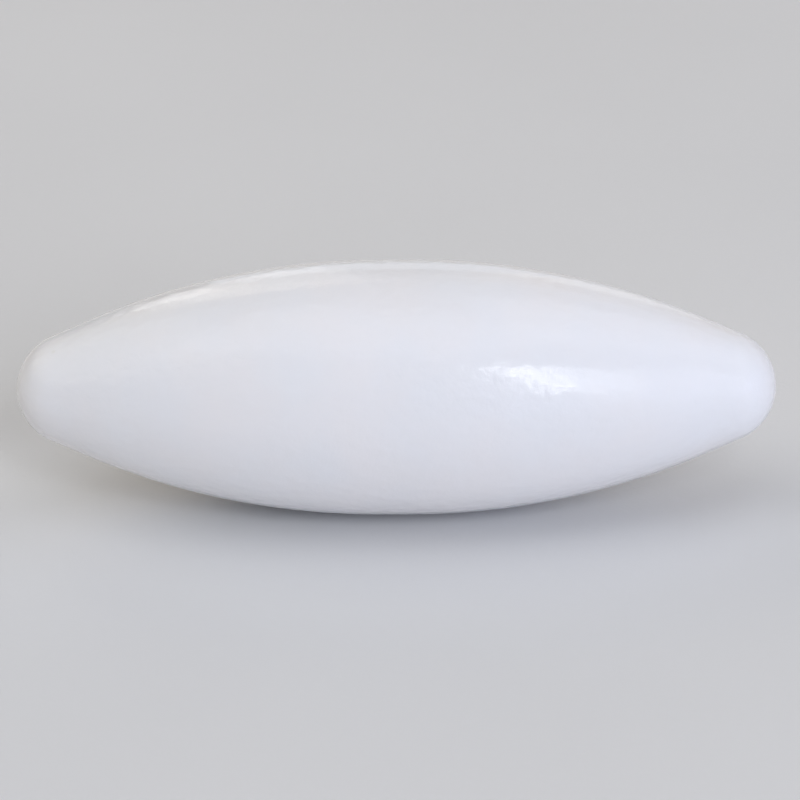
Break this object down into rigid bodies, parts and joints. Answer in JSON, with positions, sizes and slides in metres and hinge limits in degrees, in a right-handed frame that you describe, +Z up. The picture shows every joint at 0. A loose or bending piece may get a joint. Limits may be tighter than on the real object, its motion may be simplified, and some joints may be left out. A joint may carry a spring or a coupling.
{
  "type": "magnetic stir bar",
  "caption": "Olive-shaped magnetic stir bar: a magnet rod sealed in a smooth white casing, widest at its belly and rounded at both noses, spun on a flask's floor to stir a liquid.",
  "frame": {"origin": "the bar's centre, on its long axis and half the belly's diameter above the floor that it lies on", "axes": "+X along the bar's long axis, +Z up, which is also the axis that it spins about when it stirs"},
  "size_m": [0.06, 0.02, 0.02],
  "materials": {
    "casing": "satin",
    "magnet": "matte"
  },
  "bodies": {
    "root": {"casing": "casing", "magnet": "magnet"}
  },
  "joints": []
}
